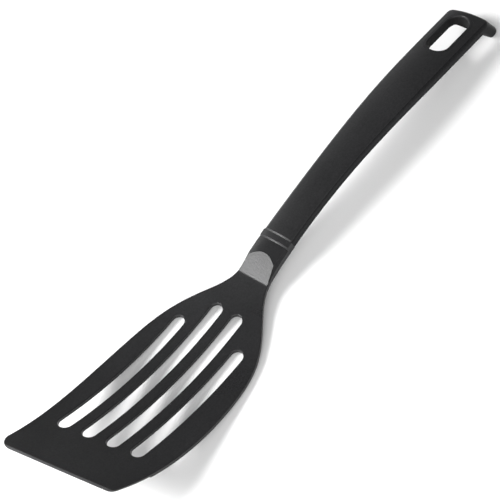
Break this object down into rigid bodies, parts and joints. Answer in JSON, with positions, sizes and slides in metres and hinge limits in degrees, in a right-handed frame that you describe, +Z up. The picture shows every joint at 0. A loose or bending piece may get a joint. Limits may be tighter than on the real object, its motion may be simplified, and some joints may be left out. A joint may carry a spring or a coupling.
{
  "type": "grill spatula",
  "caption": "Slotted black nylon grill spatula with a curved blade, slanted front edge, cranked neck, arched two-part handle, hanging hole and down-turned end hook",
  "frame": {"origin": "on the surface the tool lies on, under the middle of its bounding box", "axes": "+X from the blade tip toward the handle end, +Y to the left of someone holding the handle, +Z up out of the blade's top face; the tool lies in its resting pose on the blade's belly and the foot of the end hook"},
  "size_m": [0.3314, 0.0706, 0.0319],
  "materials": {
    "blade_nylon": "fine spark-eroded satin black nylon",
    "handle_nylon": "satin black nylon with a fine grain",
    "pin_nylon": "plain black nylon"
  },
  "bodies": {
    "root": {"blade": "blade_nylon", "neck_band": "handle_nylon", "handle_cover": "handle_nylon", "handle_tray": "handle_nylon", "hang_hole_liner": "handle_nylon", "tang_pins": "pin_nylon"}
  },
  "joints": []
}
